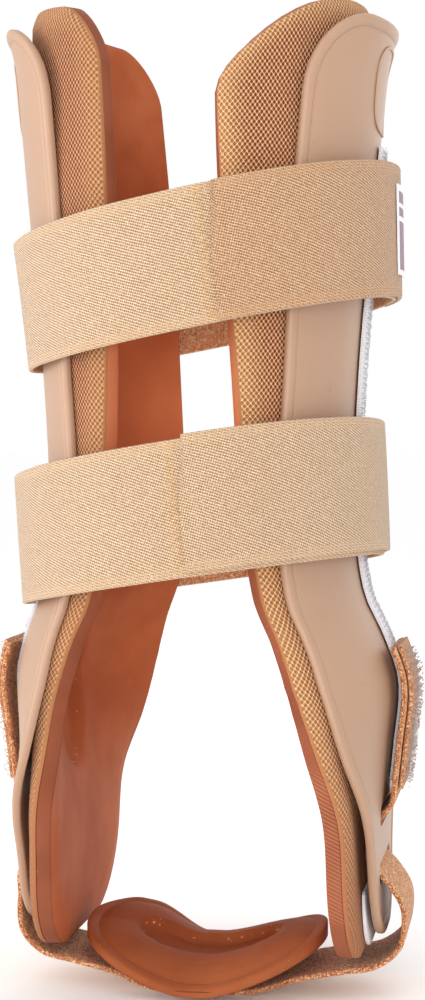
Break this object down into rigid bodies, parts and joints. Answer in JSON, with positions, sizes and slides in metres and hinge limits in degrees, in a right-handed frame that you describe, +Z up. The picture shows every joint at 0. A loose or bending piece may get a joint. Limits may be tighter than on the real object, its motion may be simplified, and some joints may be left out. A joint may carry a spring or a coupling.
{
  "type": "stirrup ankle brace",
  "caption": "Stirrup ankle brace with beige side shells, gel pads, elastic straps, a heel strap and a gel heel pad.",
  "frame": {"origin": "on the floor under the middle of the brace's bounding box", "axes": "+Z up along the leg, -Y to the front, +X to the side whose shell carries the straps' second layers"},
  "size_m": [0.1226, 0.1134, 0.286],
  "materials": {
    "shell": "satin",
    "pad_cover": "perforated knit",
    "gel": "smooth gel",
    "hook": "hook tape",
    "elastic": "woven elastic",
    "label": "plain printed tape",
    "loop": "loop pile",
    "tab": "hook strip"
  },
  "bodies": {
    "root": {"shell_right": "shell", "shell_left": "shell", "pad_cover_right": "pad_cover", "pad_cover_left": "pad_cover", "gel_pad_right": "gel", "gel_pad_left": "gel", "hook_tape_right": "hook", "hook_tape_left": "hook", "hook_patch_right": "hook", "hook_patch_left": "hook", "heel_tab_right": "tab", "heel_tab_left": "tab", "upper_strap": "elastic", "upper_strap_end": "elastic", "lower_strap": "elastic", "lower_strap_end": "elastic", "strap_label": "label", "heel_strap": "loop", "heel_pad": "gel"}
  },
  "joints": []
}
